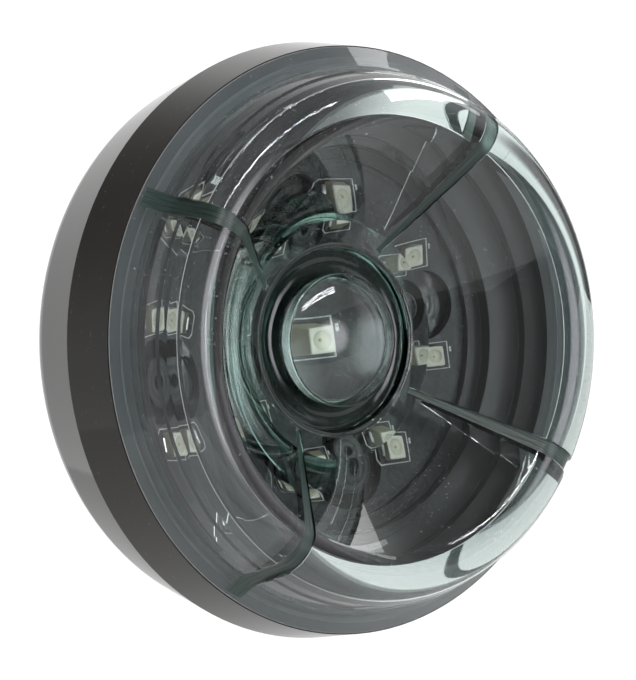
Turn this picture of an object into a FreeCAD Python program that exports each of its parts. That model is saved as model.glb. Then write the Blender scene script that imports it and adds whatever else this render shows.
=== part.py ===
import FreeCAD, Part
import math
import os

# Round motorcycle tail light. Millimetres. The front looks along -Y, up is +Z,
# and the origin is the middle of the flat back. Pieces are drawn on a local axis
# that runs forward from the back, and are turned into place when they are saved.

# Driving dimensions of the housing
outer_d = 100.0
crease_w = 18.0
joint_w = 28.3
back_inset = 5.4
back_round = 8.5
joint_inset = 0.7
wall = 2.5
floor_t = 3.0
rim_t = 2.7
ledge_depth = 3.1
seal_t = 1.0
tongue_t = 2.0
fit = 0.2

# Driving dimensions of the lens
crest_h = 14.9
crest_inset = 11.25
crest_round = 5.05
crest_start = 25.0
hub_r = 16.2
hub_drop = 2.49677
hub_lip = 0.8
hub_depth = 1.5
hub_floor_t = 1.5
collar_r = 22.1
ridge_inset = 12.05
ridge_drop = 3.8
ridge_bulge = 0.9
flank_rise = 3.6
flank_inset = 4.2
shoulder_rise = 4.6
shoulder_lean = 1.1
ledge_step = 0.4
roof_slope = 1.088
roof_clear = 0.2
slot_width = 3.6
slot_hub_width = 1.0
slot_depth = 0.35
slot_lift = 0.4
web_clear = 0.5
web_edge = 0.4
web_root = 3.6

# Driving dimensions of the bull's-eye
eye_r = 11.2
eye_back_r = 10.9
eye_h = 3.5
eye_dome_r = 17.0
eye_rim = 0.4
eye_spigot_r = 8.8

# Driving dimensions of the board, the lamps and what holds them
board_lap = 2.5
board_t = 1.6
led_size = 3.5
led_t = 1.9
led_window_r = 1.3
led_dish = 0.3
led_inset = 6.5
led_turn = -8.0
led_count = 8
post_count = 4
post_inset = 7.9
post_r = 7.6
pin_r = 3.6
pin_rise = 0.4
pin_hole_r = 1.0
pin_hole_l = 6.0
board_hole_r = 6.2
board_gap = 3.0
bezel_tread_1 = 3.0
bezel_tread_2 = 6.4
bezel_tread_3 = 4.5
bezel_rise_1 = 1.3
bezel_rise_2 = 2.5
bezel_rise_3 = 1.8
bezel_t = 1.2

# Driving dimensions of the back
insert_inset = 11.4
insert_r = 4.2
insert_bore_r = 2.5
insert_l = 10.0
insert_wall = 2.2
grommet_r = 4.5
grommet_bore_r = 2.5
grommet_flange = 2.0
vent_ring_r = 27.0
vent_r = 3.0
vent_flange = 1.2

# Driving dimensions of the small parts behind the board
resistor_size = (3.2, 1.6, 0.6)
resistor_count = 4
resistor_pitch = 5.0
driver_size = (5.0, 4.0, 1.5)
diode_size = (4.3, 2.6, 2.1)
chip_clear = 4.0
chip_offset = 5.0

# Values that follow from the driving dimensions
outer_r = outer_d / 2
joint_r = outer_r - joint_inset
rim_in_r = joint_r - rim_t
cavity_r = rim_in_r - fit - tongue_t
ledge_w = joint_w - ledge_depth
tongue_w = ledge_w + seal_t
crest_w = joint_w + crest_h
crest_r = outer_r - crest_inset
crest_mid_w = crest_w - crest_round
hub_w = joint_w - hub_drop
hub_to_crest = math.hypot(crest_r - hub_r, crest_mid_w - hub_w)
bowl_angle = math.atan2(crest_mid_w - hub_w, crest_r - hub_r) + math.asin(crest_round / hub_to_crest)
bowl_slope = math.tan(bowl_angle)
bowl_top_r = crest_r - crest_round * math.sin(bowl_angle)
bowl_top_w = crest_mid_w + crest_round * math.cos(bowl_angle)
flank_w1 = joint_w + flank_rise
flank_w2 = flank_w1 + shoulder_rise
flank_r1 = outer_r - flank_inset
flank_r2 = flank_r1 - shoulder_lean
eye_w = hub_w - hub_depth
hub_back_w = eye_w - hub_floor_t
hub_in_r = hub_r - hub_lip
eye_hole_r = eye_spigot_r + fit
board_front_w = hub_back_w - board_gap
board_back_w = board_front_w - board_t
bezel_w1 = board_front_w + bezel_rise_1
bezel_w2 = bezel_w1 + bezel_rise_2
bezel_w3 = bezel_w2 + bezel_rise_3
bezel_r2 = cavity_r - bezel_tread_3
bezel_r1 = bezel_r2 - bezel_tread_2
bezel_r = bezel_r1 - bezel_tread_1
board_r = bezel_r + board_lap
led_ring_r = bezel_r - led_inset
post_ring_r = bezel_r - post_inset
chip_row = post_ring_r - post_r - chip_clear
insert_spacing = 2 * (cavity_r - insert_inset)
post_step = 360.0 / post_count
led_step = 360.0 / led_count
slot_angles = [post_step * (i + 0.5) for i in range(post_count)]
post_angles = [post_step * i for i in range(post_count)]
led_angles = [led_step * (i + 0.5) for i in range(led_count)]


def v(r, w):
    return FreeCAD.Vector(r, 0, w)


def spin(edges):
    """Turn a closed outline, drawn as radius and forward distance, about the axis."""
    face = Part.Face(Part.Wire(edges))
    return face.revolve(FreeCAD.Vector(0, 0, 0), FreeCAD.Vector(0, 0, 1), 360)


def lines(points):
    """Straight edges through a run of points."""
    return [Part.makeLine(v(*a), v(*b)) for a, b in zip(points, points[1:])]


def lathe(points):
    """A turned solid from a straight-sided outline."""
    return spin(lines(points + points[:1]))


def rod(r, w0, w1, x=0.0, y=0.0):
    """A round bar along the axis between two forward distances."""
    return Part.makeCylinder(r, w1 - w0, FreeCAD.Vector(x, y, w0))


def tube(r_out, r_in, w0, w1):
    return rod(r_out, w0, w1).cut(rod(r_in, w0, w1))


def block(size_x, size_y, w0, w1, x=0.0, y=0.0):
    """A box centred on x and y between two forward distances."""
    corner = FreeCAD.Vector(x - size_x / 2, y - size_y / 2, w0)
    return Part.makeBox(size_x, size_y, w1 - w0, corner)


def polar(r, angle):
    a = math.radians(angle)
    return r * math.cos(a), r * math.sin(a)


def turned(shape, angle):
    """A copy turned about the lamp's axis."""
    copy = shape.copy()
    copy.rotate(FreeCAD.Vector(0, 0, 0), FreeCAD.Vector(0, 0, 1), angle)
    return copy


def save(name, shape):
    """Turn a piece so that its forward direction is -Y, then write it."""
    placed = shape.copy()
    placed.rotate(FreeCAD.Vector(0, 0, 0), FreeCAD.Vector(1, 0, 0), 90)
    placed.exportStep("parts/" + name + ".step")


def housing_outline():
    """Outside of the cup: rounded back edge, widest crease, rim, ledge and cavity."""
    corner_r = outer_r - back_inset
    side_angle = math.atan2(crease_w, back_inset)
    reach = back_round * math.tan(side_angle / 2)
    back_r = corner_r - reach
    edge_r = corner_r + reach * math.cos(side_angle)
    edge_w = reach * math.sin(side_angle)
    bend_r = back_r + back_round * math.sin(side_angle / 2)
    bend_w = back_round * (1 - math.cos(side_angle / 2))
    edges = lines([(0, floor_t), (0, 0), (back_r, 0)])
    edges.append(Part.Arc(v(back_r, 0), v(bend_r, bend_w), v(edge_r, edge_w)).toShape())
    rim = [(edge_r, edge_w), (outer_r, crease_w), (joint_r, joint_w), (rim_in_r, joint_w)]
    inside = [(rim_in_r, ledge_w), (cavity_r, ledge_w), (cavity_r, edge_w + wall)]
    edges += lines(rim + inside + [(cavity_r - wall, floor_t), (0, floor_t)])
    return edges


def rear_housing():
    cup = spin(housing_outline())
    for angle in post_angles:
        x, y = polar(post_ring_r, angle)
        cup = cup.fuse(rod(post_r, floor_t, board_back_w, x, y))
    insert_top = insert_l + insert_wall
    for x in (-insert_spacing / 2, insert_spacing / 2):
        cup = cup.fuse(rod(insert_r + insert_wall, floor_t, insert_top, x))
        cup = cup.cut(rod(insert_r, 0, insert_l, x))
    pin_top = board_front_w + pin_rise
    for angle in post_angles:
        x, y = polar(post_ring_r, angle)
        cup = cup.fuse(rod(pin_r, board_back_w, pin_top, x, y))
        cup = cup.cut(rod(pin_hole_r, pin_top - pin_hole_l, pin_top, x, y))
    x, y = polar(vent_ring_r, slot_angles[2])
    cup = cup.cut(rod(vent_r, 0, floor_t, x, y))
    return cup.cut(rod(grommet_r, 0, floor_t)).removeSplitter()


def crest_point(angle, sunk=0.0):
    """A point on the crest's round, or below it. The angle starts at the rim's side."""
    a = math.radians(angle)
    reach = crest_round - sunk
    return crest_r + reach * math.cos(a), crest_mid_w + reach * math.sin(a)


def flank_edges():
    """Lens outside from the joint up to the crest: three fine ledges, then the round."""
    side = crest_point(crest_start)
    r3 = side[0] + ledge_step * 0.9
    w3 = side[1] - ledge_step * 0.4
    foot = [(joint_r, joint_w), (flank_r1 + ledge_step, flank_w1 - ledge_step), (flank_r1, flank_w1)]
    shoulder = [(flank_r2 + ledge_step, flank_w2 - ledge_step), (flank_r2, flank_w2)]
    edges = lines(foot + shoulder)
    bulge_r = (flank_r2 + r3) / 2 + ledge_step * 0.4
    bulge_w = (flank_w2 + w3) / 2
    edges.append(Part.Arc(v(flank_r2, flank_w2), v(bulge_r, bulge_w), v(r3, w3)).toShape())
    edges += lines([(r3, w3), side])
    round_end = v(bowl_top_r, bowl_top_w)
    edges.append(Part.Arc(v(*side), v(*crest_point(80)), round_end).toShape())
    return edges


def lens_filled():
    """The lens as if it were solid down to the hub's back."""
    edges = flank_edges()
    hub = [(bowl_top_r, bowl_top_w), (hub_r, hub_w), (hub_in_r, hub_w), (hub_in_r - fit, eye_w)]
    hub += [(eye_hole_r, eye_w), (eye_hole_r, hub_back_w), (cavity_r, hub_back_w)]
    tongue = [(cavity_r, tongue_w), (rim_in_r - fit, tongue_w), (rim_in_r - fit, joint_w)]
    edges += lines(hub + tongue + [(joint_r, joint_w)])
    return edges


def lens_hollow():
    """The space inside the lens. Its front is a ridge: a bulged side behind the bowl, and a roof."""
    ridge_r = outer_r - ridge_inset
    ridge_w = crest_w - ridge_drop
    across = math.hypot(ridge_r - collar_r, ridge_w - hub_back_w)
    bulge_r = (collar_r + ridge_r) / 2 - ridge_bulge * (ridge_w - hub_back_w) / across
    bulge_w = (hub_back_w + ridge_w) / 2 + ridge_bulge * (ridge_r - collar_r) / across
    end_r = cavity_r - roof_clear
    end_w = ridge_w - roof_slope * (end_r - ridge_r)
    start = v(collar_r, hub_back_w)
    edges = [Part.Arc(start, v(bulge_r, bulge_w), v(ridge_r, ridge_w)).toShape()]
    roof = [(ridge_r, ridge_w), (end_r, end_w), (cavity_r, joint_w), (cavity_r, hub_back_w)]
    return edges + lines(roof + [(collar_r, hub_back_w)])


def slot_floor():
    """Section of what is left below a slot: two smooth faces on the flank, then crest and bowl sunk a little."""
    lean = (joint_r - flank_r1 - ledge_step) / (flank_rise - ledge_step)
    foot = (joint_r - lean * slot_lift, joint_w + slot_lift)
    bend = (flank_r1 - slot_depth * 0.7, flank_w1)
    top = crest_point(crest_start, slot_depth)
    edges = lines([(0, joint_w), (foot[0], joint_w), foot, bend, top])
    bowl_end = crest_point(90 + math.degrees(bowl_angle), slot_depth)
    edges.append(Part.Arc(v(*top), v(*crest_point(80, slot_depth)), v(*bowl_end)).toShape())
    inner_w = bowl_end[1] - bowl_slope * bowl_end[0]
    return edges + lines([bowl_end, (0, inner_w), (0, joint_w)])


def wedge(w0, w1):
    """A radial wedge, wide at the rim and narrow at the hub."""
    half_rim = slot_width / 2
    half_hub = slot_hub_width / 2
    corners = [(hub_r, -half_hub), (outer_r, -half_rim), (outer_r, half_rim), (hub_r, half_hub)]
    ring = [FreeCAD.Vector(x, y, w0) for x, y in corners]
    face = Part.Face(Part.makePolygon(ring + ring[:1]))
    return face.extrude(FreeCAD.Vector(0, 0, w1 - w0))


def web(filled):
    """One radial web behind a slot. It thins towards its back, which follows the bezel's steps."""
    corners = [(-web_edge, hub_back_w), (web_edge, hub_back_w), (web_root, crest_w), (-web_root, crest_w)]
    ring = [FreeCAD.Vector(hub_r, y / 2, w) for y, w in corners]
    blade = Part.Face(Part.makePolygon(ring + ring[:1])).extrude(FreeCAD.Vector(outer_r, 0, 0))
    low = hub_back_w
    mid = bezel_w2 + web_clear
    high = bezel_w3 + web_clear
    r1 = bezel_r1 - web_clear
    r2 = bezel_r2 - web_clear
    room = [(0, 0), (0, low), (r1, low), (r1, mid), (r2, mid), (r2, high), (cavity_r, high), (cavity_r, 0)]
    rib = blade.common(filled).cut(lathe(room))
    return rib.common(rod(cavity_r - web_clear, 0, crest_w))


def lens():
    filled = spin(lens_filled())
    shell = filled.cut(spin(lens_hollow()))
    rib = web(filled)
    skin = wedge(joint_w + slot_lift, crest_w + slot_depth).cut(spin(slot_floor()))
    for angle in slot_angles:
        shell = shell.fuse(turned(rib, angle)).cut(turned(skin, angle))
    return shell.removeSplitter()


def centre_lens():
    """Bull's-eye: a plug that widens forward, a narrow rim and a domed front."""
    front_w = eye_w + eye_h
    dome_r = eye_r - eye_rim
    rise = eye_dome_r - math.sqrt(eye_dome_r ** 2 - dome_r ** 2)
    half_r = dome_r / 2
    half_w = front_w + rise - eye_dome_r + math.sqrt(eye_dome_r ** 2 - half_r ** 2)
    back = [(0, front_w + rise), (0, hub_back_w), (eye_spigot_r, hub_back_w), (eye_spigot_r, eye_w)]
    edges = lines(back + [(eye_back_r, eye_w), (eye_r, front_w), (dome_r, front_w)])
    edges.append(Part.Arc(v(dome_r, front_w), v(half_r, half_w), v(0, front_w + rise)).toShape())
    return spin(edges)


def lens_seal():
    return tube(rim_in_r - fit, cavity_r, ledge_w, tongue_w)


def inner_bezel():
    """Black ring that climbs in three steps from the board's front to the housing's wall."""
    r0 = bezel_r
    w0 = board_front_w
    front = [(r0, w0), (r0, bezel_w1), (bezel_r1, bezel_w1), (bezel_r1, bezel_w2), (bezel_r2, bezel_w2)]
    front += [(bezel_r2, bezel_w3), (cavity_r, bezel_w3), (cavity_r, bezel_w3 - bezel_t)]
    back = [(bezel_r2 + bezel_t, bezel_w3 - bezel_t), (bezel_r2 + bezel_t, bezel_w2 - bezel_t)]
    back += [(bezel_r1 + bezel_t, bezel_w2 - bezel_t), (bezel_r1 + bezel_t, w0)]
    return lathe(front + back)


def circuit_board():
    board = rod(board_r, board_back_w, board_front_w)
    for angle in post_angles:
        x, y = polar(post_ring_r, angle)
        board = board.cut(rod(board_hole_r, board_back_w, board_front_w, x, y))
    return board


def led(x=0.0, y=0.0):
    """A square lamp with a shallow round dish in its face."""
    top_w = board_front_w + led_t
    body = turned(block(led_size, led_size, board_front_w, top_w), led_turn)
    body = body.cut(rod(led_window_r, top_w - led_dish, top_w))
    body.translate(FreeCAD.Vector(x, y, 0))
    return body


def mounting_insert(x):
    return rod(insert_r, 0, insert_l, x).cut(rod(insert_bore_r, 0, insert_l, x))


def cable_grommet():
    flange = rod(grommet_r + grommet_flange, floor_t, floor_t + grommet_flange)
    body = rod(grommet_r, 0, floor_t).fuse(flange)
    return body.cut(rod(grommet_bore_r, 0, floor_t + grommet_flange)).removeSplitter()


def breather_plug():
    x, y = polar(vent_ring_r, slot_angles[2])
    flange = rod(vent_r + vent_flange, floor_t, floor_t + vent_flange, x, y)
    return rod(vent_r, vent_flange / 2, floor_t, x, y).fuse(flange).removeSplitter()


def chip(size, x, y):
    """A small block soldered to the back of the board."""
    return block(size[0], size[1], board_back_w - size[2], board_back_w, x, y)


os.makedirs("parts", exist_ok=True)
save("rear_housing", rear_housing())
save("lens", lens())
save("centre_lens", centre_lens())
save("lens_seal", lens_seal())
save("inner_bezel", inner_bezel())
save("circuit_board", circuit_board())
for i, angle in enumerate(led_angles):
    save("ring_led_" + str(i + 1), led(*polar(led_ring_r, angle)))
save("centre_led", led())
for i, side in enumerate((-1, 1)):
    save("mounting_insert_" + str(i + 1), mounting_insert(side * insert_spacing / 2))
save("cable_grommet", cable_grommet())
save("breather_plug", breather_plug())
for i in range(resistor_count):
    place = (i - (resistor_count - 1) / 2) * resistor_pitch
    save("resistor_" + str(i + 1), chip(resistor_size, place, chip_row))
save("driver_chip", chip(driver_size, -chip_offset, -chip_row))
save("polarity_diode", chip(diode_size, chip_offset, -chip_row))
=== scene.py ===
# %% [markdown]
# # A round motorcycle tail light
# The lamp has a black cup, a thick smoky lens shaped like a bowl with a rounded crest, a bull's-eye in
# its hub and a ring of square lamps on a black board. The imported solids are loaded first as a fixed
# frame, and everything added later sits in that frame, in metres, with the front looking along -Y.

# %% Load the frame
import bpy
import math
from mathutils import Matrix, Vector


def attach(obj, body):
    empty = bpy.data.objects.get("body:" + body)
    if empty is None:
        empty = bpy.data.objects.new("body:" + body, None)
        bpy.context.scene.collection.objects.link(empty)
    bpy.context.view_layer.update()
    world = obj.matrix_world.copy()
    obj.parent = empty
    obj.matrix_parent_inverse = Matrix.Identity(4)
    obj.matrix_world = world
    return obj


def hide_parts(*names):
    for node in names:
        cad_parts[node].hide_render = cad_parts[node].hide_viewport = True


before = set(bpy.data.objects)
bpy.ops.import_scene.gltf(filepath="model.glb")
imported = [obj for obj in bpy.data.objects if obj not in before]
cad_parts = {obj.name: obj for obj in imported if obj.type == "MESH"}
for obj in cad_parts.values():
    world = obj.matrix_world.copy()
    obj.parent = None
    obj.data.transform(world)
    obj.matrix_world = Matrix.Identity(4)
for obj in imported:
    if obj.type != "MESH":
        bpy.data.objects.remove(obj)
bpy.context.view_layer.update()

# %% [markdown]
# ## Camera
# The lamp is seen level with its axis, turned 37 degrees so that its left flank shows, and rolled a
# little about its own axis. A long lens keeps the circles close to true ellipses. The roll goes into
# the camera's own axes, so the lamp keeps its upright frame.

# %% Camera
TURN = math.radians(37.0)
ROLL = math.radians(15.5)
PIXELS_PER_MM = 5.96
DISTANCE = 3.0
IMAGE = (636, 680)
AIM_PIXEL = (307.4, 340.0)
AIM_FORWARD = 0.018
SENSOR = 36.0

across = Vector((math.cos(ROLL), 0, -math.sin(ROLL)))
upward = Vector((math.sin(ROLL), 0, math.cos(ROLL)))
forward = Vector((0, -1, 0))
view_right = across * math.cos(TURN) + forward * math.sin(TURN)
view_back = forward * math.cos(TURN) - across * math.sin(TURN)

camera_data = bpy.data.cameras.new("photo_camera")
camera = bpy.data.objects.new("photo_camera", camera_data)
bpy.context.collection.objects.link(camera)
off_x = (IMAGE[0] / 2 - AIM_PIXEL[0]) / PIXELS_PER_MM / 1000
off_y = (AIM_PIXEL[1] - IMAGE[1] / 2) / PIXELS_PER_MM / 1000
spot = forward * AIM_FORWARD + view_right * off_x + upward * off_y + view_back * DISTANCE
camera.matrix_world = Matrix((
    (view_right.x, upward.x, view_back.x, spot.x),
    (view_right.y, upward.y, view_back.y, spot.y),
    (view_right.z, upward.z, view_back.z, spot.z),
    (0, 0, 0, 1),
))
camera_data.sensor_fit = "VERTICAL"
camera_data.sensor_height = SENSOR
camera_data.lens = PIXELS_PER_MM * 1000 * DISTANCE / IMAGE[1] * SENSOR
camera_data.clip_start = 0.01
bpy.context.scene.camera = camera
print("camera at", [round(v, 3) for v in spot], "lens", round(camera_data.lens, 1), "mm")

# %% [markdown]
# ## Shader sums
# A finish is easier to read as a sum than as a web of boxes. This class wraps one socket. Adding or
# multiplying two of them adds a Math node, and `node` adds any other node: its type, the settings that
# are set first, and then what goes into its sockets.

# %% Shader sums
class Field:
    def __init__(self, tree, socket=None):
        self.tree = tree
        self.socket = socket

    def node(self, kind, settings=None, inputs=None, out=0):
        new = self.tree.nodes.new(kind)
        for name, value in (settings or {}).items():
            setattr(new, name, value)
        for name, value in (inputs or {}).items():
            self.feed(new.inputs[name], value)
        return Field(self.tree, new.outputs[out])

    def feed(self, socket, value):
        if isinstance(value, Field):
            self.tree.links.new(value.socket, socket)
        else:
            socket.default_value = value

    def math(self, operation, a, b=0.0):
        return self.node("ShaderNodeMath", {"operation": operation}, {0: a, 1: b})

    def sine(self):
        return self.math("SINE", self)

    def size(self):
        """The value without its sign."""
        return self.math("ABSOLUTE", self)

    def __add__(self, other):
        return self.math("ADD", self, other)

    def __radd__(self, other):
        return self.math("ADD", other, self)

    def __sub__(self, other):
        return self.math("SUBTRACT", self, other)

    def __rsub__(self, other):
        return self.math("SUBTRACT", other, self)

    def __mul__(self, other):
        return self.math("MULTIPLY", self, other)

    def __rmul__(self, other):
        return self.math("MULTIPLY", other, self)

    def above(self, edge, width):
        """0 below the edge, 1 above it, with a soft step of the given width."""
        settings = {"interpolation_type": "SMOOTHSTEP"}
        limits = {"Value": self, "From Min": edge - width / 2, "From Max": edge + width / 2}
        return self.node("ShaderNodeMapRange", settings, limits)

    def mix(self, low, high):
        """A colour between two others, with this field as the share of the second."""
        return self.node("ShaderNodeMix", {"data_type": "RGBA"}, {0: self, 6: low, 7: high}, out=2)


print("shader sums ready")

# %% [markdown]
# ## Helpers for finishes
# Every finish starts as an empty tree, reads its place on the piece in millimetres, and ends in one
# principled surface. These helpers take up what each finish would repeat: the place, the distance from an
# axis, a noise and a bump.


# %% Helpers for finishes
def finish(name):
    """A new material with an empty tree, and the field that starts its sums."""
    material = bpy.data.materials.new(name)
    material.use_nodes = True
    material.node_tree.nodes.clear()
    return material, Field(material.node_tree)


def surface(field, inputs, volume=None):
    """Close a tree with one principled surface, and a volume where the piece is clear."""
    shader = field.node("ShaderNodeBsdfPrincipled", None, inputs)
    ends = {"Surface": shader}
    if volume:
        ends["Volume"] = volume
    end = field.tree.nodes.new("ShaderNodeOutputMaterial")
    for socket, value in ends.items():
        field.feed(end.inputs[socket], value)


def place(field):
    """Object coordinates in millimetres as three fields: right, forward and up."""
    where = field.node("ShaderNodeTexCoord", out=3)
    split = where.node("ShaderNodeSeparateXYZ", None, {0: where})
    x, y, z = (Field(field.tree, s) for s in split.socket.node.outputs)
    return x * 1000, y * -1000, z * 1000


def distance(x, z):
    """Distance from the axis of two fields, such as right and up."""
    return x.math("SQRT", x * x + z * z)


def noise(field, scale, detail):
    """Fine noise over the object, 0 to 1. The scale is in features per metre."""
    where = field.node("ShaderNodeTexCoord", out=3)
    inputs = {"Vector": where, "Scale": scale, "Detail": detail}
    return field.node("ShaderNodeTexNoise", None, inputs)


def bump(field, height, depth):
    """A normal tilted by a height field. The depth is in metres."""
    inputs = {"Strength": 1.0, "Distance": depth, "Height": height}
    return field.node("ShaderNodeBump", None, inputs)


print("finish helpers ready")

# %% [markdown]
# ## Turned pieces
# Nearly every piece of the lamp is turned about its axis. An outline is a run of corners in
# millimetres, radius and distance forward of the back, each with the radius that rounds it. The helper
# rounds the corners and keeps the true normal of each point, because a lens shows every false normal
# as a false reflection. A modifier could round edges too, but not with normals this exact.

# %% Rounded outlines
def rounded(corners, closed=True):
    """Points (radius, forward, normal radius, normal forward) along an outline with rounded corners."""
    points = []
    count = len(corners)
    for i, (r, w, fillet) in enumerate(corners):
        here = Vector((r, w))
        before = Vector(corners[i - 1][:2])
        after = Vector(corners[(i + 1) % count][:2])
        if not closed and i in (0, count - 1):
            along = (after - here) if i == 0 else (here - before)
            along.normalize()
            normal = Vector((along.y, -along.x))
            if r == 0:
                normal = Vector((0, 1 if normal.y > 0 else -1))
            points.append((r, w, normal.x, normal.y))
            continue
        d0 = (here - before).normalized()
        d1 = (after - here).normalized()
        n0 = Vector((d0.y, -d0.x))
        turn = math.atan2(d0.x * d1.y - d0.y * d1.x, d0.dot(d1))
        reach = 0.0
        if fillet and abs(turn) > 1e-4:
            room = 0.49 * min((here - before).length, (after - here).length)
            reach = min(fillet * math.tan(abs(turn) / 2), room)
        if reach == 0:
            half = turn / 2
            c, s = math.cos(half), math.sin(half)
            points.append((r, w, n0.x * c - n0.y * s, n0.x * s + n0.y * c))
            continue
        radius = reach / math.tan(abs(turn) / 2)
        side = 1 if turn > 0 else -1
        start = here - d0 * reach
        middle = start - n0 * radius * side
        steps = max(3, int(abs(turn) * math.sqrt(radius) * 7))
        for k in range(steps + 1):
            part = turn * k / steps
            c, s = math.cos(part), math.sin(part)
            n = Vector((n0.x * c - n0.y * s, n0.x * s + n0.y * c))
            p = middle + n * radius * side
            points.append((p.x, p.y, n.x, n.y))
    return points


print("outline helper ready")


# %% Skin
class Skin:
    """Faces with a normal at each corner. Corners at one place become one vertex."""

    def __init__(self):
        self.index = {}
        self.points = []
        self.faces = []
        self.normals = []
        self.finishes = []

    def vertex(self, point):
        key = tuple(round(v, 4) for v in point)
        if key not in self.index:
            self.index[key] = len(self.points)
            self.points.append(Vector(point) / 1000)
        return self.index[key]

    def face(self, corners, finish_number=0):
        """Corners are pairs of a point in millimetres and a normal."""
        loop = []
        for point, normal in corners:
            number = self.vertex(point)
            if all(number != other for other, _ in loop):
                loop.append((number, normal))
        if len(loop) > 2:
            self.faces.append([number for number, _ in loop])
            self.normals += [Vector(normal).normalized() for _, normal in loop]
            self.finishes.append(finish_number)

    def piece(self, name):
        mesh = bpy.data.meshes.new(name)
        mesh.from_pydata(self.points, [], self.faces)
        mesh.polygons.foreach_set("use_smooth", [True] * len(mesh.polygons))
        mesh.polygons.foreach_set("material_index", self.finishes)
        mesh.normals_split_custom_set(self.normals)
        new = bpy.data.objects.new(name, mesh)
        bpy.context.collection.objects.link(new)
        print(name, len(self.points), "points", len(self.faces), "faces")
        return new


print("skin ready")


# %% Turning and dressing
def spot_at(sample, angle):
    """The place and normal of an outline point turned to an angle."""
    r, w, nr, nw = sample
    c, s = math.cos(angle), math.sin(angle)
    return (r * c, -w, r * s), (nr * c, -nw, nr * s)


def turned(name, corners, columns, closed=True):
    """A piece turned about the axis from an outline."""
    skin = Skin()
    samples = rounded(corners, closed)
    count = len(samples)
    for i in range(count if closed else count - 1):
        a, b = samples[i], samples[(i + 1) % count]
        for k in range(columns):
            t0 = 2 * math.pi * k / columns
            t1 = 2 * math.pi * (k + 1) / columns
            skin.face([spot_at(a, t0), spot_at(a, t1), spot_at(b, t1), spot_at(b, t0)])
    return skin.piece(name)


def dress(piece, material, slot, *nodes, others=()):
    """Give a piece its finish, and others for marked faces, and tie it to the frame."""
    numbers = [face.material_index for face in piece.data.polygons]
    piece.data.materials.clear()
    for each in (material, *others):
        piece.data.materials.append(each)
    piece.data.polygons.foreach_set("material_index", numbers)
    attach(piece, "root")
    if nodes:
        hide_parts(*nodes)


def carried(name, material):
    """Give a carried-over solid its finish."""
    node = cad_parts[name]
    node.data.materials.clear()
    node.data.materials.append(material)


print("turning helpers ready")

# %% [markdown]
# ## The lens
# The lens is the moulder's hardest piece. Its flank steps in three times, its crest is round, its bowl
# runs straight down to the hub, and four radial slots divide it, each with a solid web behind. The
# outline below walks round the section once: up the flank, over the crest, down the bowl, through the
# hub and back up the inside. A boolean would spoil the normals, so slots and webs are columns of the
# same grid: in a slot column the outside sinks, and in a web column the inside is left out and closed
# with two flat walls and a stepped back. The foot stands a hundredth of a millimetre clear of the rim
# and the seal, because two faces in one plane flicker.

# %% Lens outline
JOINT, TONGUE = 28.31, 26.21
CREST_MIDDLE, CREST_ROUND, CREST_START = (38.75, 38.15), 5.05, 25.0
BOWL_ANGLE = math.degrees(math.atan(0.84))
HUB_R, RIM_R = 16.2, 50.0
SLOT_RIM, SLOT_HUB, SLOT_DEPTH = 3.6, 1.0, 0.35
RIDGE_ROUND = 0.15
WEB_EDGE, WEB_ROOT = (0.4, 22.8), (3.6, 43.2)


def arc_through(a, b, c):
    """The middle and the radius of a circle through three points."""
    (ax, ay), (bx, by), (cx, cy) = a, b, c
    d = 2 * (ax * (by - cy) + bx * (cy - ay) + cx * (ay - by))
    aa, bb, cc = ax * ax + ay * ay, bx * bx + by * by, cx * cx + cy * cy
    x = (aa * (by - cy) + bb * (cy - ay) + cc * (ay - by)) / d
    y = (aa * (cx - bx) + bb * (ax - cx) + cc * (bx - ax)) / d
    return Vector((x, y)), math.hypot(ax - x, ay - y)


def arc_points(a, b, c, count):
    """Points along the arc from a through b to c."""
    middle, radius = arc_through(a, b, c)
    start = math.atan2(a[1] - middle.y, a[0] - middle.x)
    sweep = math.atan2(c[1] - middle.y, c[0] - middle.x) - start
    angles = [start + sweep * k / count for k in range(count + 1)]
    return [(middle.x + radius * math.cos(t), middle.y + radius * math.sin(t)) for t in angles]


def crest_point(angle, sunk=0.0):
    a = math.radians(angle)
    reach = CREST_ROUND - sunk
    return CREST_MIDDLE[0] + reach * math.cos(a), CREST_MIDDLE[1] + reach * math.sin(a)


crest = [crest_point(CREST_START + (90 + BOWL_ANGLE - CREST_START) * k / 30) for k in range(31)]
lens_outside = [
    (44.4, TONGUE, 0.15, ""), (46.4, TONGUE, 0.2, ""), (46.4, JOINT, 0.1, ""), (49.3, JOINT, 0.15, ""),
    (48.56, 29.06, 0, ""), (48.52, 29.1, 0, "slot"), (46.2, 31.5, 0.25, "slot"), (45.8, 31.9, 0.25, "slot"),
    (45.1, 36.1, 0.25, "slot"), (44.7, 36.5, 0.25, "slot"), (44.35, 38.32, 3.0, "slot"),
    (43.69, 40.12, 0.15, "slot"),
]
lens_outside += [(r, w, 0, "slot") for r, w in crest]
lens_outside += [
    (17.0, 26.47, 0, "slot"), (16.9, 26.39, 0, ""), (HUB_R, 25.8, 0.8, ""), (15.4, 25.8, 0.38, ""),
    (15.2, 24.3, 0.3, ""), (9.0, 24.3, 0.15, ""), (9.0, 22.8, 0.15, ""), (22.1, 22.8, 0.12, ""),
]
lens_inside = [(r, w, 0, "web") for r, w in arc_points((22.1, 22.8), (29.37, 31.72), (37.95, 39.4), 24)[1:]]
lens_inside[0] = lens_inside[0][:3] + ("web_start",)
lens_inside[-1] = lens_inside[-1][:2] + (RIDGE_ROUND, "web")
lens_inside += [(44.2, 32.6, 0.3, "web"), (44.23, 31.8, 0, "web_end"), (44.4, JOINT, 0.2, "")]
collar_edge = lens_inside[0][:2]
web_back = [
    collar_edge, (33.0, collar_edge[1]), (33.0, 24.1), (39.4, 24.1), (39.4, 25.9),
    (43.9, 25.9), (44.23, 31.8),
]
print("lens outline", len(lens_outside) + len(lens_inside), "corners")


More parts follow.
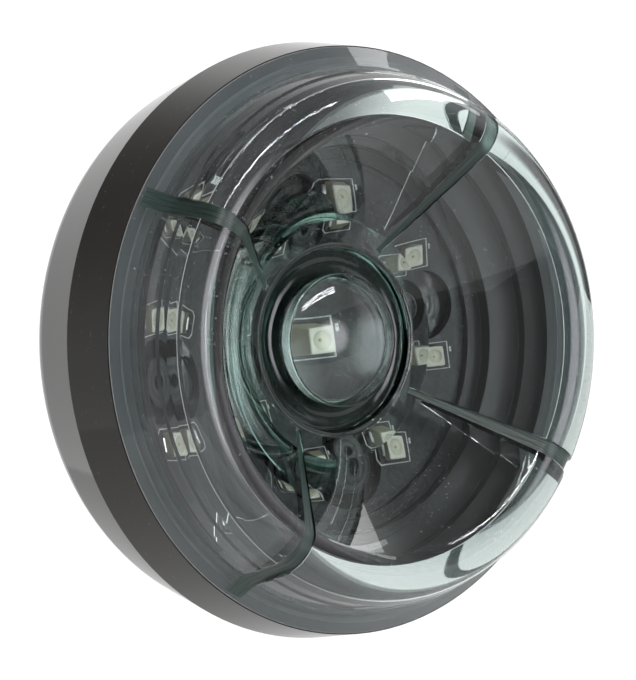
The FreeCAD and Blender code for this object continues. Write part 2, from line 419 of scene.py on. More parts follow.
# %% Slots and webs
def slot_half(r):
    """Half the width of a slot at a radius."""
    if r < HUB_R:
        return SLOT_HUB / 2 * r / HUB_R
    return (SLOT_HUB + (SLOT_RIM - SLOT_HUB) * (r - HUB_R) / (RIM_R - HUB_R)) / 2


def web_half(w):
    """Half the thickness of a web, which thins towards its back."""
    share = (w - WEB_EDGE[1]) / (WEB_ROOT[1] - WEB_EDGE[1])
    return (WEB_EDGE[0] + (WEB_ROOT[0] - WEB_EDGE[0]) * share) / 2


ramp_top = crest_point(CREST_START, SLOT_DEPTH)
ramp = rounded([(48.5, 29.09, 0), (45.55, 31.9, 6.0), ramp_top + (0,)], closed=False)


def ramp_at(w):
    """The point and normal of a slot's floor on the flank at a forward distance."""
    w = min(max(w, ramp[0][1]), ramp[-1][1])
    for a, b in zip(ramp, ramp[1:]):
        if w <= b[1]:
            share = (w - a[1]) / (b[1] - a[1])
            return tuple(p + (q - p) * share for p, q in zip(a, b))
    return ramp[-1]


def sunk_sample(sample):
    """Where a point of the outside lies on a slot's floor: on the ramp, or just below crest and bowl."""
    r, w, nr, nw = sample
    if r > ramp_top[0] and w < ramp_top[1]:
        return ramp_at(w)
    if r > crest[-1][0]:
        away = Vector((r - CREST_MIDDLE[0], w - CREST_MIDDLE[1])).normalized()
        return *crest_point(math.degrees(math.atan2(away.y, away.x)), SLOT_DEPTH), away.x, away.y
    return r - SLOT_DEPTH * nr, w - SLOT_DEPTH * nw, nr, nw


def lens_samples():
    """The rounded outline, with each point's mark beside it."""
    corners = lens_outside + lens_inside
    count = len(corners)
    samples, marks = [], []
    for i in range(count):
        three = [corners[(i + k) % count][:3] for k in (-1, 0, 1)]
        own = rounded(three, closed=False)[1:-1]
        samples += own
        marks += [corners[i][3]] * len(own)
    return samples, marks


print("slot floor on the flank", len(ramp), "points")

# %% Finish of each face
PLAIN_COLUMNS = 40
CLEAR, BOND, SLOT, EDGE, HUB = range(5)
BOND_INNER_R, BOND_HEIGHT = 40, 0.02
HUB_FLOOR_R, HUB_FLOOR_W = 15.5, 24.2
# Bands on the lower edge and on the first and third ledge that get a pale finish, a painted highlight of
# rounded edges.
HIGHLIGHT_EDGES = ((48.9, 49.2, JOINT + 0.005, 29.0), (46.0, 46.3, 31.4, 31.7), (43.5, 43.8, 40.0, 40.25))


def highlight_edge(sample):
    """True on the lower edge and on the first and third ledge, where a pale finish paints the highlight of a
    rounded edge.
    """
    r, w = sample[:2]
    return any(r0 < r < r1 and w0 < w < w1 for r0, r1, w0, w1 in HIGHLIGHT_EDGES)


def lens_finish(a, b):
    """The number of the finish between two points of the outline."""
    if max(a[0], b[0]) < HUB_FLOOR_R and min(a[1], b[1]) > HUB_FLOOR_W:
        return HUB
    if highlight_edge(a) and highlight_edge(b):
        return EDGE
    if max(a[1], b[1]) < JOINT + BOND_HEIGHT and min(a[0], b[0]) > BOND_INNER_R:
        return BOND
    return CLEAR


print("finishes on the lens", HUB + 1)


# %% Lens mesh
def lens_piece():
    samples, marks = lens_samples()
    skin = Skin()
    count = len(samples)
    first = marks.index("web_start")
    last = marks.index("web_end")
    turn = math.pi / 2
    for quarter in range(4):
        base = math.radians(45) + quarter * turn

        def at(sample, column, sunk=False, inner=False):
            """Column -1, 0 and 1 are the slot, and 1 to 2 the plain run up to the next slot."""
            r, w, nr, nw = sample
            half = web_half(w) if inner else slot_half(r)
            edge = math.asin(half / r)
            angle = edge * column if column <= 1 else edge + (turn - 2 * edge) * (column - 1)
            return spot_at(sunk_sample(sample) if sunk else sample, base + angle)

        for i in range(count):
            j = (i + 1) % count
            a, b = samples[i], samples[j]
            in_a, in_b = first <= i <= last, first <= j <= last
            plain = lens_finish(a, b)
            for k in range(PLAIN_COLUMNS):
                c0, c1 = 1 + k / PLAIN_COLUMNS, 1 + (k + 1) / PLAIN_COLUMNS
                low = [at(a, c0, False, in_a), at(a, c1, False, in_a)]
                high = [at(b, c1, False, in_b), at(b, c0, False, in_b)]
                skin.face(low + high, plain)
            if first <= i < last:
                continue
            sink_a, sink_b = marks[i] == "slot", marks[j] == "slot"
            in_slot = SLOT if sink_a and sink_b else plain
            for c0, c1 in ((-1, 0), (0, 1)):
                low = [at(a, c0, sink_a, in_a), at(a, c1, sink_a, in_a)]
                high = [at(b, c1, sink_b, in_b), at(b, c0, sink_b, in_b)]
                skin.face(low + high, in_slot)
            if sink_a or sink_b:
                for side in (-1, 1):
                    slot_wall(skin, at, a, b, sink_a, sink_b, side, base)
        web_walls(skin, samples[first:last + 1], base)
    return skin.piece("smoke_lens")


def slot_wall(skin, at, a, b, sink_a, sink_b, side, base):
    """The low wall along one edge of a slot. Its normals lean out at the top, as a rounded edge does."""
    across = Vector((math.sin(base) * side, 0, -math.cos(base) * side))
    corners = []
    for sample, sunk in ((a, False), (b, False), (b, sink_b), (a, sink_a)):
        point, normal = at(sample, side, sunk)
        lean = 0.25 if sunk else 0.8
        corners.append((point, Vector(normal) * lean + across))
    skin.face(corners if side > 0 else corners[::-1])


def web_walls(skin, top, base):
    """Two flat walls and a stepped back close a web below the lens."""
    def at(r, w, column):
        angle = math.asin(web_half(w) / r) * column
        return spot_at((r, w, 0, 0), base + angle)[0]

    draft = (WEB_ROOT[0] - WEB_EDGE[0]) / 2 / (WEB_ROOT[1] - WEB_EDGE[1])
    for side in (-1, 1):
        outward = (-math.sin(base) * side, draft, math.cos(base) * side)
        ring = [(at(s[0], s[1], side), outward) for s in top]
        ring += [(at(r, w, side), outward) for r, w in web_back[-2:0:-1]]
        skin.face(ring if side > 0 else ring[::-1])
    for (r0, w0), (r1, w1) in zip(web_back, web_back[1:]):
        nr, nw = w1 - w0, -(r1 - r0)
        normal = spot_at((0, 0, nr, nw), base)[1]
        for c0, c1 in ((-1, 0), (0, 1)):
            quad = [at(r0, w0, c0), at(r0, w0, c1), at(r1, w1, c1), at(r1, w1, c0)]
            skin.face([(p, normal) for p in quad])


smoke_lens = lens_piece()

# %% [markdown]
# ## Clear finishes
# Both clear pieces bend light like polycarbonate. The smoky green shows only where light runs a long way
# through the material, so it is an absorption in the volume and not a surface colour. A trace of roughness
# noise stands for handling marks. A diffuse layer is mixed in by its share of the surface: a thin haze on
# the flank and along the crest, thicker lower down, which paints a grey sheen over the clear plastic, and a
# few bright specks of dust.
# a thin haze that gathers on the crest and the flank, and a few bright specks.

# %% Clear finishes
CREST_SHEEN_LOW, CREST_SHEEN_TOP = 4.0, 1.0
SPECK_SHARE = 0.45


def dust_and_sheen_share(field, haze):
    """How much of the surface is the diffuse layer: a haze over the flank and crest, thicker along the crest
    and lower down, that paints a sheen, and a few bright specks of dust.
    """
    x, w, z = place(field)
    radius = distance(x, z)
    on_crest = radius.above(38.4, 1.0) * (1 - radius.above(40.4, 2.6))
    thick = CREST_SHEEN_LOW - z.above(5.0, 50.0) * (CREST_SHEEN_LOW - CREST_SHEEN_TOP)
    outer = radius.above(40.0, 6.0) + on_crest * thick
    drift = noise(field, 70.0, 4.0)
    fine = noise(field, 2400.0, 1.0).above(0.735, 0.02)
    patch = noise(field, 45.0, 2.0).above(0.52, 0.25)
    return drift.above(0.5, 0.9) * outer * haze + fine * patch * SPECK_SHARE


def absorption(field, tint, density):
    return field.node("ShaderNodeVolumeAbsorption", None, {"Color": tint, "Density": density})


def clear_finish(name, tint, density, index, haze):
    material, field = finish(name)
    speck = noise(field, 900.0, 3.0)
    rough = speck.above(0.72, 0.2) * 0.02
    clear = {"Base Color": (1, 1, 1, 1), "Roughness": rough, "IOR": index, "Transmission Weight": 1.0}
    glass = field.node("ShaderNodeBsdfPrincipled", None, clear)
    # A pale diffuse layer: painted sheen where it is haze, dust where it is specks.
    dust_and_sheen_layer = field.node("ShaderNodeBsdfDiffuse", None, {"Color": (0.80, 0.80, 0.84, 1)})
    both = field.node("ShaderNodeMixShader", None, {0: dust_and_sheen_share(field, haze), 1: glass, 2: dust_and_sheen_layer})
    absorb = absorption(field, tint, density)
    end = material.node_tree.nodes.new("ShaderNodeOutputMaterial")
    field.feed(end.inputs["Surface"], both)
    field.feed(end.inputs["Volume"], absorb)
    return material


# %% Clear pieces
SMOKE_TINT, SMOKE_DENSITY, SMOKE_INDEX = (0.40, 0.64, 0.57, 1), 52.0, 1.5
SMOKE_HAZE, EYE_HAZE = 0.035, 0.01
smoke_clear = clear_finish("smoke_clear", SMOKE_TINT, SMOKE_DENSITY, SMOKE_INDEX, SMOKE_HAZE)
EYE_TINT, EYE_DENSITY = (0.42, 0.70, 0.60, 1), 40.0
eye_clear = clear_finish("eye_clear", EYE_TINT, EYE_DENSITY, SMOKE_INDEX, EYE_HAZE)
print("clear finishes", smoke_clear.name, eye_clear.name)

# %% [markdown]
# ## Marked faces of the lens
# Four kinds of face on the lens differ from its polish: the bond below the foot, with painted light on it,
# the streaked slots, darkened by painted shade, pale lines on the lower edge and ledges that are painted
# highlights, and the hub's floor. They could be painted by a mask, but the mesh already knows each face, so
# every kind gets a finish of its own.


# %% Bond and painted edge highlights
def bond_finish():
    """The bond below the lens's foot: dark on the housing's rim, and grey further in over the black rubber
    seal, which is painted light, with a faint glow that is painted light too.
    """
    material, field = finish("lens_bond")
    x, w, z = place(field)
    radius = distance(x, z)
    cloud = noise(field, 240.0, 3.0)
    rim = radius.above(46.5, 0.1)
    # The grey over the seal is lighter than the black rubber: painted light.
    seal = cloud.mix((0.30, 0.31, 0.33, 1), (0.42, 0.43, 0.45, 1))
    # The faint emission is painted light: a glow that lifts the foot as if lit.
    glow = {"Emission Color": (0.94, 1.0, 1.02, 1), "Emission Strength": 0.012}
    shade = rim.mix(seal, (0.10, 0.118, 0.125, 1))
    surface(field, {"Base Color": shade, "Roughness": cloud * 0.2 + 0.4, **glow})
    return material


def edge_highlight_finish():
    """Painted highlights: pale grey lines along the lens's lower edge and ledges, where rounded edges catch
    the light.
    """
    material, field = finish("painted_edge_highlight")
    cloud = noise(field, 300.0, 3.0)
    # A pale grey that paints the highlight of a rounded edge.
    shade = cloud.mix((0.36, 0.38, 0.37, 1), (0.54, 0.56, 0.55, 1))
    surface(field, {"Base Color": shade, "Roughness": 0.45})
    return material


lens_bond, painted_edge_highlight = bond_finish(), edge_highlight_finish()
print("finishes", lens_bond.name, painted_edge_highlight.name)


# %% Hub and slots
def hub_finish():
    """The hub's floor, a thicker green with faint turned rings."""
    material, field = finish("hub_floor")
    x, w, z = place(field)
    radius = distance(x, z)
    cloud = noise(field, 90.0, 3.0)
    rings = (radius * 2.6 + cloud * 4.0).sine()
    shade = cloud.above(0.5, 0.3).mix((0.20, 0.42, 0.35, 1), (0.42, 0.66, 0.58, 1))
    inputs = {"Base Color": shade, "Roughness": 0.03, "IOR": SMOKE_INDEX, "Transmission Weight": 1.0}
    absorb = absorption(field, SMOKE_TINT, SMOKE_DENSITY)
    surface(field, {**inputs, "Normal": bump(field, rings, 0.00008)}, absorb)
    return material


def slot_finish():
    """The floor of a slot, which the mould leaves finely streaked along its length. Its dark green base is
    painted shade, the dark of the web seen through its length.
    """
    material, field = finish("slot_floor")
    x, w, z = place(field)
    diagonal = math.sqrt(0.5)
    a, b = (x + z) * diagonal, (x - z) * diagonal
    across_slot = x.math("MINIMUM", a.size(), b.size())
    along = field.node("ShaderNodeCombineXYZ", None, {0: across_slot, 1: w * 0.06, 2: 0.0})
    streak = field.node("ShaderNodeTexNoise", None, {"Vector": along, "Scale": 3.2, "Detail": 3.0})
    absorb = absorption(field, SMOKE_TINT, SMOKE_DENSITY)
    # The dark greens are painted shade over the streaks.
    shade = streak.above(0.5, 0.4).mix((0.05, 0.11, 0.09, 1), (0.14, 0.25, 0.21, 1))
    inputs = {"Base Color": shade, "Roughness": streak * 0.2 + 0.22, "Normal": bump(field, streak, 0.0001)}
    surface(field, {**inputs, "IOR": SMOKE_INDEX, "Transmission Weight": 0.82}, absorb)
    return material


marked = (lens_bond, slot_finish(), painted_edge_highlight, hub_finish())
dress(smoke_lens, smoke_clear, "smoke_lens", "lens", others=marked)
print("lens dressed with", 1 + len(marked), "finishes")

# %% [markdown]
# ## The bull's-eye
# A plug that widens forward with a domed front. It sits in the hub and enlarges the lamp behind it.

# %% Bull's-eye
EYE_FRONT, EYE_RIM, EYE_DOME = 27.8, 10.8, 17.0
dome_middle = EYE_FRONT - math.sqrt(EYE_DOME ** 2 - EYE_RIM ** 2)
dome_angle = math.asin(EYE_RIM / EYE_DOME)
eye_outline = [
    (0, 22.8, 0), (8.8, 22.8, 0.2), (8.8, 24.32, 0.1), (10.9, 24.32, 0.2), (11.2, 27.78, 0.2),
    (EYE_RIM, EYE_FRONT, 0.1),
]
DOME_STEPS = 24
for k in range(1, DOME_STEPS + 1):
    a = dome_angle * (1 - k / DOME_STEPS)
    eye_outline.append((EYE_DOME * math.sin(a), dome_middle + EYE_DOME * math.cos(a), 0))
eye_outline[-1] = (0, dome_middle + EYE_DOME, 0)
bulls_eye = turned("bulls_eye", eye_outline, 160, closed=False)
dress(bulls_eye, eye_clear, "clear_lens", "centre_lens")

# %% [markdown]
# ## Black mouldings
# The housing is a glossy black moulding and the bezel a satin one. Gloss comes from a low roughness that
# drifts a little, as on any moulded skin, and the grain from very fine bump. The tops of the housing's
# four pins show turned rings round a small hole. They are drawn by the distance from the nearest pin,
# which folds four pins into one sum.

# %% Black finishes
PIN_RING, PIN_TOP = 22.6, 19.0


def pin_distance(x, z):
    """Distance in millimetres from the nearest of the four pins."""
    wide = x.math("MAXIMUM", x.size(), z.size())
    thin = x.math("MINIMUM", x.size(), z.size())
    return distance(wide - PIN_RING, thin)


def black_finish(name, colour, rough, grain, with_pins=False):
    material, field = finish(name)
    cloud = noise(field, 60.0, 4.0)
    fine = noise(field, 2600.0, 2.0)
    speck = noise(field, 1400.0, 1.0).above(0.74, 0.04)
    shade = cloud.above(0.5, 0.6).mix(colour + (1,), tuple(c * 1.35 for c in colour) + (1,))
    shade = (speck * 0.35).mix(shade, (0.16, 0.15, 0.14, 1))
    height = fine
    if with_pins:
        x, w, z = place(field)
        away = pin_distance(x, z)
        on_pin = w.above(PIN_TOP, 0.4) * (1 - away.above(3.8, 0.1))
        rings = (away * 5.2).sine() * 0.5 + 0.5
        shade = (on_pin * (rings * 0.6 + 0.4)).mix(shade, (0.075, 0.078, 0.085, 1))
        height = fine + on_pin * rings * 6.0
    normal = bump(field, height, grain)
    gloss = {"Roughness": cloud * 0.08 + rough, "Specular IOR Level": 0.4}
    surface(field, {"Base Color": shade, "Normal": normal, **gloss})
    return material


housing_black = black_finish("housing_black", (0.016, 0.014, 0.012), 0.05, 0.000002, with_pins=True)
bezel_black = black_finish("bezel_black", (0.014, 0.014, 0.015), 0.30, 0.00001)
carried("rear_housing", housing_black)
print("black finishes ready")

# %% Bezel
bezel_outline = [
    (30.5, 19.8, 0.05), (30.5, 21.1, 0.2), (33.5, 21.1, 0.2), (33.5, 23.6, 0.2),
    (39.9, 23.6, 0.2), (39.9, 25.4, 0.2), (44.4, 25.4, 0.1), (44.4, 24.2, 0.1),
    (41.1, 24.2, 0.1), (41.1, 22.4, 0.1), (34.7, 22.4, 0.1), (34.7, 19.8, 0.1),
]
bezel = turned("stepped_bezel", bezel_outline[::-1], 160)
dress(bezel, bezel_black, "bezel_black", "inner_bezel")

# %% [markdown]
# ## Board
# The board has a black solder mask over copper tracks, which stand out as faint wide bands. Tracks could
# be modelled, but at a few hundredths of a millimetre they are bump. The white print round each lamp is
# a real thin layer: a strip that follows the lamp's place outline, with the corners on its marked side
# cut off and a short tick beside it.

# %% Board finish
BOARD_FRONT = 19.8


def board_finish():
    material, field = finish("board_black")
    x, w, z = place(field)
    radius = distance(x, z)
    weave = (x * 9.0).sine() * (z * 9.0).sine()
    cloud = noise(field, 220.0, 2.0)
    track = cloud.math("PINGPONG", cloud, 0.07).above(0.035, 0.02)
    ring_track = radius.above(26.6, 0.15) * (1 - radius.above(29.4, 0.15))
    copper = track * 0.5 + ring_track * 0.5
    shade = copper.mix((0.020, 0.020, 0.022, 1), (0.045, 0.046, 0.050, 1))
    normal = bump(field, weave * 0.12 + copper, 0.00003)
    surface(field, {"Base Color": shade, "Roughness": cloud * 0.15 + 0.32, "Normal": normal})
    return material


carried("circuit_board", board_finish())
print("board dressed")

# %% Lamp places
LAMP_RING, LAMP_TURN, LAMP_COUNT = 24.0, math.radians(8.0), 8
lamp_places = {"centre_led": (0.0, 0.0)}
for k in range(LAMP_COUNT):
    angle = 2 * math.pi * (k + 0.5) / LAMP_COUNT
    lamp_places["ring_led_" + str(k + 1)] = (LAMP_RING * math.cos(angle), LAMP_RING * math.sin(angle))
print("lamps", len(lamp_places))


# %% Board print
def print_strip(points, width, rise, centre):
    """Corners of a closed strip round a convex outline, turned and moved to a lamp's place."""
    rings = []
    middle = Vector((sum(p[0] for p in points), sum(p[1] for p in points))) / len(points)
    c, s = math.cos(-LAMP_TURN), math.sin(-LAMP_TURN)
    for grow in (-width / 2, width / 2):
        ring = []
        for p in points:
            away = Vector(p) - middle
            q = middle + away * (1 + grow / away.length)
            ring.append((q.x * c - q.y * s + centre[0], -BOARD_FRONT - rise, q.x * s + q.y * c + centre[1]))
        rings.append(ring)
    return rings


PRINT_HALF, PRINT_CUT, PRINT_LINE, PRINT_RISE = (3.55, 2.3), 0.8, 0.25, 0.03
print_skin = Skin()
hx, hz = PRINT_HALF
outline = [
    (-hx + PRINT_CUT, -hz), (hx, -hz), (hx, hz),
    (-hx + PRINT_CUT, hz), (-hx, hz - PRINT_CUT), (-hx, -hz + PRINT_CUT),
]
tick = [(3.9, 0.45), (4.3, 0.45), (4.3, 1.35), (3.9, 1.35)]
for centre in lamp_places.values():
    inner, outer = print_strip(outline, PRINT_LINE, PRINT_RISE, centre)
    for k in range(len(outline)):
        j = (k + 1) % len(outline)
        quad = [inner[k], outer[k], outer[j], inner[j]]
        print_skin.face([(q, (0, -1, 0)) for q in quad])
    small = print_strip(tick, 0.0, PRINT_RISE, centre)[0]
    print_skin.face([(q, (0, -1, 0)) for q in small])
board_print = print_skin.piece("board_print")


def ink_finish():
    material, field = finish("white_ink")
    patchy = noise(field, 3000.0, 2.0)
    shade = patchy.above(0.42, 0.3).mix((0.42, 0.43, 0.42, 1), (0.78, 0.79, 0.77, 1))
    surface(field, {"Base Color": shade, "Roughness": 0.7})
    return material


dress(board_print, ink_finish(), "led_cream")
print("print round", len(lamp_places), "lamps")

# %% [markdown]
# ## Lamps
# Each lamp is a square cream package with a shallow round dish, a small dot of a chip in the middle of
# the dish, and a tinned foot on two sides. One mesh serves all nine. It is a grid of rounded squares
# that changes to circles at the dish, because a boolean would leave long thin faces round the dish.

# %% Lamp mesh
LAMP_HALF, LAMP_CORNER, LAMP_HIGH, DISH_R = 1.75, 0.22, 1.9, 1.3
LAMP_COLUMNS, SHARP_EDGE = 64, math.radians(40)


def square_reach(angle, half, corner):
    """Distance from the middle to a rounded square's edge in a direction."""
    c, s = abs(math.cos(angle)), abs(math.sin(angle))
    flat = half / max(c, s)
    inner = half - corner
    along = inner * (c + s)
    room = along * along - 2 * inner * inner + corner * corner
    return min(flat, along + math.sqrt(room)) if room > 0 else flat


def lamp_mesh():
    columns = LAMP_COLUMNS
    body = [(1.0, 0.06), (1.0, 0.9), (0.985, 1.78), (0.965, 1.86), (0.93, LAMP_HIGH)]
    dish = [(DISH_R + 0.06, LAMP_HIGH), (DISH_R, 1.86), (1.1, 1.72), (0.8, 1.63), (0.45, 1.6)]
    dish += [(0.2, 1.6), (0.17, 1.68), (0.06, 1.7)]
    points, faces = [], []
    for k in range(columns):
        angle = 2 * math.pi * k / columns
        reach = square_reach(angle, LAMP_HALF, LAMP_CORNER)
        rows = [(reach * share, high) for share, high in body] + dish
        points += [(r * math.cos(angle), -high, r * math.sin(angle)) for r, high in rows]
    rows = len(body) + len(dish)
    for k in range(columns):
        a, b = k * rows, (k + 1) % columns * rows
        faces += [(a + i, b + i, b + i + 1, a + i + 1) for i in range(rows - 1)]
    faces.append(tuple(k * rows + rows - 1 for k in range(columns)))
    faces.append(tuple(k * rows for k in range(columns))[::-1])
    finishes = [0] * len(faces)
    for side in (-1, 1):
        foot_shape(points, faces, side)
    finishes += [1] * (len(faces) - len(finishes))
    mesh = bpy.data.meshes.new("lamp")
    mesh.from_pydata([Vector(q) / 1000 for q in points], [], faces)
    mesh.polygons.foreach_set("material_index", finishes)
    mesh.polygons.foreach_set("use_smooth", [True] * len(faces))
    mesh.set_sharp_from_angle(angle=SHARP_EDGE)
    return mesh


def foot_shape(points, faces, side):
    """A tinned foot: a low tab that slopes down from the package to the board."""
    section = [(1.7, 0.0), (2.15, 0.0), (2.15, 0.16), (1.95, 0.3), (1.7, 0.36)]
    first = len(points)
    for z in (-1.05, 1.05):
        points += [(side * x, -high, z) for x, high in section]
    count = len(section)
    for k in range(count):
        j = (k + 1) % count
        quad = (first + k, first + j, first + count + j, first + count + k)
        faces.append(quad if side < 0 else quad[::-1])
    ends = [tuple(range(first, first + count)), tuple(range(first + count, first + 2 * count))[::-1]]
    faces += ends[::-1] if side < 0 else ends


shared_lamp = lamp_mesh()
print("lamp mesh", len(shared_lamp.vertices), "points")


# %% Lamp finishes
def lamp_finish():
    material, field = finish("lamp_cream")
    x, w, z = place(field)
    radius = distance(x, z)
    cloud = noise(field, 900.0, 3.0)
    # The package is one cream all over. Its sides are painted darker than the top as painted shade.
    top = w.above(1.8, 0.12)
    in_dish = 1 - radius.above(DISH_R - 0.02, 0.06)
    dot = 1 - radius.above(0.22, 0.05)
    painted_side_shade = cloud.mix((0.46, 0.40, 0.29, 1), (0.58, 0.51, 0.38, 1))
    top_shade = cloud.mix((0.86, 0.82, 0.72, 1), (0.94, 0.91, 0.82, 1))
    shade = top.mix(painted_side_shade, top_shade)
    shade = in_dish.mix(shade, cloud.mix((0.70, 0.66, 0.52, 1), (0.80, 0.77, 0.64, 1)))
    shade = dot.mix(shade, (0.52, 0.40, 0.22, 1))
    normal = bump(field, cloud, 0.00001)
    surface(field, {"Base Color": shade, "Roughness": in_dish * -0.25 + 0.42, "Normal": normal})
    return material


def tin_finish():
    material, field = finish("tinned_foot")
    cloud = noise(field, 1600.0, 3.0)
    shade = cloud.mix((0.52, 0.52, 0.52, 1), (0.74, 0.74, 0.73, 1))
    surface(field, {"Base Color": shade, "Metallic": 1.0, "Roughness": cloud * 0.3 + 0.2})
    return material


lamp_cream, tinned_foot = lamp_finish(), tin_finish()
shared_lamp.materials.append(lamp_cream)
shared_lamp.materials.append(tinned_foot)
for name, (x, z) in lamp_places.items():
    lamp = bpy.data.objects.new("lamp_" + name, shared_lamp)
    bpy.context.collection.objects.link(lamp)
    lamp.location = (x / 1000, -BOARD_FRONT / 1000, z / 1000)
    lamp.rotation_euler.y = LAMP_TURN
    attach(lamp, "root")
    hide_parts(name)
print("lamp placed", len(lamp_places), "times")

# %% [markdown]
# ## The back and the hidden parts
# The back carries two brass inserts, the rubber inlet for the cable and a breather. Behind the board sit
# four resistors, a driver chip and a diode. Their solids are right as they are, so each only gets its
# finish, drawn in the part's own coordinates: a thread in the inserts, rings in the rubber, tinned ends
# on the resistors and a pale band on the diode.

# %% Brass and rubber
INSERT_X, THREAD_PITCH, INSERT_BORE = 33.0, 1.0, 2.5


def brass_finish():
    material, field = finish("insert_brass")
    x, w, z = place(field)
    off = x.size() - INSERT_X
    radius = distance(off, z)
    turn = x.math("ARCTAN2", z, off)
    thread = (w * (2 * math.pi / THREAD_PITCH) + turn).sine()
    in_bore = 1 - radius.above(INSERT_BORE + 0.15, 0.1)
    rings = (radius * 24.0).sine()
    cloud = noise(field, 500.0, 3.0)
    shade = cloud.mix((0.50, 0.34, 0.12, 1), (0.66, 0.48, 0.20, 1))
    shade = (in_bore * (0.5 - thread * 0.5)).mix(shade, (0.16, 0.10, 0.03, 1))
    height = in_bore * thread * 4.0 + (1 - in_bore) * rings * 0.15
    normal = bump(field, height, 0.00008)
    surface(field, {"Base Color": shade, "Metallic": 1.0, "Roughness": cloud * 0.2 + 0.22, "Normal": normal})
    return material


def rubber_finish(name):
    material, field = finish(name)
    x, w, z = place(field)
    rings = (distance(x, z) * 8.0).sine()
    cloud = noise(field, 700.0, 4.0)
    shade = cloud.mix((0.018, 0.018, 0.018, 1), (0.042, 0.041, 0.040, 1))
    normal = bump(field, rings * 0.4 + cloud, 0.00006)
    surface(field, {"Base Color": shade, "Roughness": cloud * 0.2 + 0.6, "Normal": normal})
    return material


insert_brass = brass_finish()
print("finish", insert_brass.name)


# %% Vent, resistors and chips
def vent_finish():
    material, field = finish("vent_grey")
    x, w, z = place(field)
    weave = (x * 14.0).sine() * (z * 14.0).sine()
    cloud = noise(field, 600.0, 3.0)
    shade = weave.above(0.0, 0.8).mix((0.22, 0.22, 0.22, 1), (0.40, 0.40, 0.39, 1))
    normal = bump(field, weave, 0.0001)
    surface(field, {"Base Color": shade, "Roughness": cloud * 0.2 + 0.65, "Normal": normal})
    return material


RESISTOR_STEP = 5.0


def resistor_finish():
    """Dark film between tinned ends. The resistors sit 5 mm apart, so one sum folds all four."""
    material, field = finish("resistor_film")
    x, w, z = place(field)
    along = (x.math("PINGPONG", x, RESISTOR_STEP) - RESISTOR_STEP / 2).size()
    end = along.above(1.15, 0.05)
    cloud = noise(field, 1500.0, 3.0)
    shade = end.mix(cloud.mix((0.02, 0.02, 0.022, 1), (0.05, 0.05, 0.055, 1)), (0.62, 0.62, 0.60, 1))
    surface(field, {"Base Color": shade, "Metallic": end, "Roughness": cloud * 0.2 + 0.3})
    return material


DOT_LEFT, DOT_BELOW = 6.8, 9.7


def chip_finish():
    """Grey-black moulding compound with a pale band for the diode and a dot for the chip."""
    material, field = finish("chip_moulding")
    x, w, z = place(field)
    cloud = noise(field, 1800.0, 4.0)
    band = x.above(6.2, 0.05) * (1 - x.above(6.8, 0.05))
    dot = 1 - distance(x + DOT_LEFT, z + DOT_BELOW).above(0.35, 0.06)
    shade = cloud.mix((0.022, 0.022, 0.023, 1), (0.045, 0.045, 0.045, 1))
    shade = band.mix(shade, (0.55, 0.55, 0.53, 1))
    shade = dot.mix(shade, (0.09, 0.09, 0.09, 1))
    normal = bump(field, cloud, 0.00002)
    surface(field, {"Base Color": shade, "Roughness": cloud * 0.25 + 0.45, "Normal": normal})
    return material


# %% Dress the small parts
chip_moulding, resistor_film = chip_finish(), resistor_finish()
small_parts = {
    "cable_grommet": rubber_finish("grommet_rubber"), "lens_seal": rubber_finish("seal_rubber"),
    "breather_plug": vent_finish(), "driver_chip": chip_moulding, "polarity_diode": chip_moulding,
}
small_parts.update({"mounting_insert_" + str(k): insert_brass for k in (1, 2)})
small_parts.update({"resistor_" + str(k): resistor_film for k in (1, 2, 3, 4)})
for name, material in small_parts.items():
    carried(name, material)
print("small parts dressed", len(small_parts))

# %% [markdown]
# ## Light
# The lamp hangs in a white room that is dim on the side of the camera, as a product photograph's room
# is: the clear pieces then show white where they bend the view round to the back, and dark where they
# mirror the camera's side. A pale floor ends in front of the lamp, so that the upper half of the bowl
# mirrors the floor and the lower half the dim room.

# %% Floor
FLOOR_DROP, FLOOR_FRONT, FLOOR_BACK, FLOOR_HALF = 0.9, 2.0, 3.2, 4.0
FLOOR_GLOW = 0.36
floor_mesh = bpy.data.meshes.new("pale_floor")
front_ends = ((-FLOOR_HALF, -FLOOR_FRONT), (FLOOR_HALF, -FLOOR_FRONT))
back_ends = ((FLOOR_HALF, FLOOR_BACK), (-FLOOR_HALF, FLOOR_BACK))
floor_mesh.from_pydata([(x, y, -FLOOR_DROP) for x, y in front_ends + back_ends], [], [(0, 1, 2, 3)])
floor = bpy.data.objects.new("pale_floor", floor_mesh)
bpy.context.collection.objects.link(floor)
floor_finish, field = finish("pale_floor")
grain = noise(field, 40.0, 3.0)
glow = {"Emission Color": (1, 1, 1, 1), "Emission Strength": FLOOR_GLOW}
shade = grain.mix((0.86, 0.86, 0.85, 1), (0.94, 0.94, 0.94, 1))
surface(field, {"Base Color": shade, "Roughness": 0.9, **glow})
floor_mesh.materials.append(floor_finish)
print("floor", FLOOR_DROP, "m below the axis, ending", FLOOR_FRONT, "m in front")

# %% [markdown]
# ## Room
# The brightness of the room is a sum over the direction of the ray, in axes that are level with the
# picture. The room is darker above and on one side, and has two soft glows, one in front and one at the
# side. Real panels could do this too, but each would show its edges in the lens.

# %% Room
ROOM_BACK, ROOM_FRONT, ROOM_SIDE = 1.08, 0.26, 0.06
SIDE_GLOW, FRONT_GLOW, CEILING_DIM = 0.9, 6.0, 0.78
TURN_OVER, TURN_WIDTH = -0.10, 0.5
world = bpy.data.worlds.new("white_room")
bpy.context.scene.world = world
world.use_nodes = True
tree = world.node_tree
tree.nodes.clear()
field = Field(tree)
ray = field.node("ShaderNodeTexCoord", out=0)


def direction(aim):
    """A direction given as right, up and front."""
    return (across * aim[0] + upward * aim[1] + forward * aim[2]).normalized()


def along_ray(where):
    """How closely a ray follows a direction: 1 along it, 0 square to it."""
    inputs = {0: ray, 1: tuple(where)}
    return field.node("ShaderNodeVectorMath", {"operation": "DOT_PRODUCT"}, inputs, out=1)


def toward(aim):
    return along_ray(direction(aim))


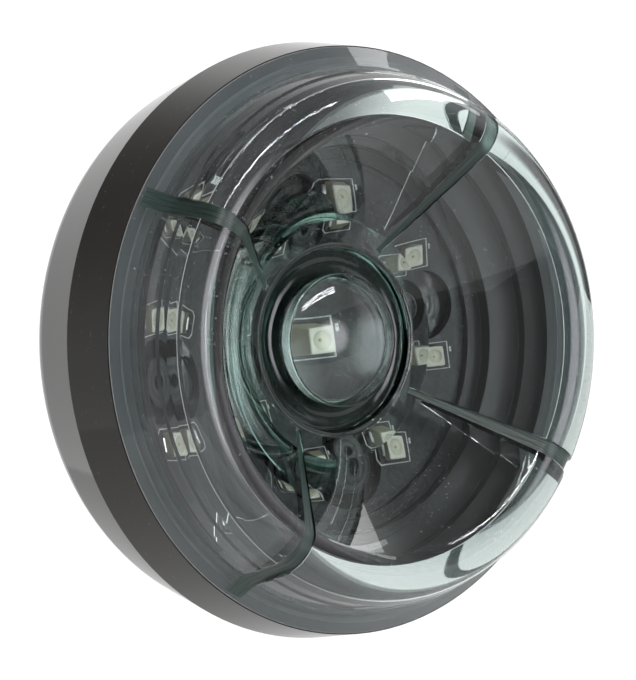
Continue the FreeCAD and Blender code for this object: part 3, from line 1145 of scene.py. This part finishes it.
front_share = along_ray(view_back).above(TURN_OVER, TURN_WIDTH)
dark_side = toward((0.95, 0.0, -0.30)).above(0.93, 0.05)
side_share = toward((0.85, 0.25, 0.46)).above(0.95, 0.08)
front_glow = toward((0.13, 0.06, 0.98)).above(0.96, 0.06)
ceiling = toward((-0.5, 0.86, 0.1)).above(0.45, 0.5)
back_strength = (ROOM_BACK - dark_side * (ROOM_BACK - ROOM_SIDE)) * (1 - ceiling * CEILING_DIM)
strength = (1 - front_share) * back_strength + front_share * ROOM_FRONT
strength = strength + side_share * SIDE_GLOW + front_glow * FRONT_GLOW
tint = (side_share + front_glow).mix((1, 1, 1, 1), (0.95, 0.93, 1.0, 1))
shine = field.node("ShaderNodeBackground", None, {"Color": tint, "Strength": strength})
end = tree.nodes.new("ShaderNodeOutputWorld")
field.feed(end.inputs["Surface"], shine)
bpy.context.scene.view_settings.view_transform = "Standard"
print("room", ROOM_BACK, "behind and", ROOM_FRONT, "in front")


# %% [markdown]
# ## Panels
# A few edges are wanted: a softbox above lights the lower bowl, and three thin strips draw crisp lines on
# the bull's-eye.

# %% Panels
STRIP_SIZE, STRIP_AWAY, STRIP_POWER = (1.0, 0.010), 1.2, 2.6
SOFTBOX_SIZE, SOFTBOX_AWAY, SOFTBOX_POWER = (0.45, 0.6), 1.6, 2.6


def panel(name, aim, away, size, power):
    """A soft rectangular light that looks at the lamp from a direction given as right, up and front."""
    light = bpy.data.lights.new(name, "AREA")
    light.shape = "RECTANGLE"
    light.size, light.size_y = size
    light.energy = power
    lamp = bpy.data.objects.new(name, light)
    bpy.context.collection.objects.link(lamp)
    where = direction(aim)
    lamp.location = where * away
    lamp.rotation_euler = where.to_track_quat("Z", "Y").to_euler()


panel("softbox_above", (0.73, 0.68, 0.03), SOFTBOX_AWAY, SOFTBOX_SIZE, SOFTBOX_POWER)
for tilt in (0.66, 0.72, 0.78):
    panel("strip_" + str(round(tilt * 100)), (-0.02, tilt, 0.67), STRIP_AWAY, STRIP_SIZE, STRIP_POWER)
print("one softbox and three strips")
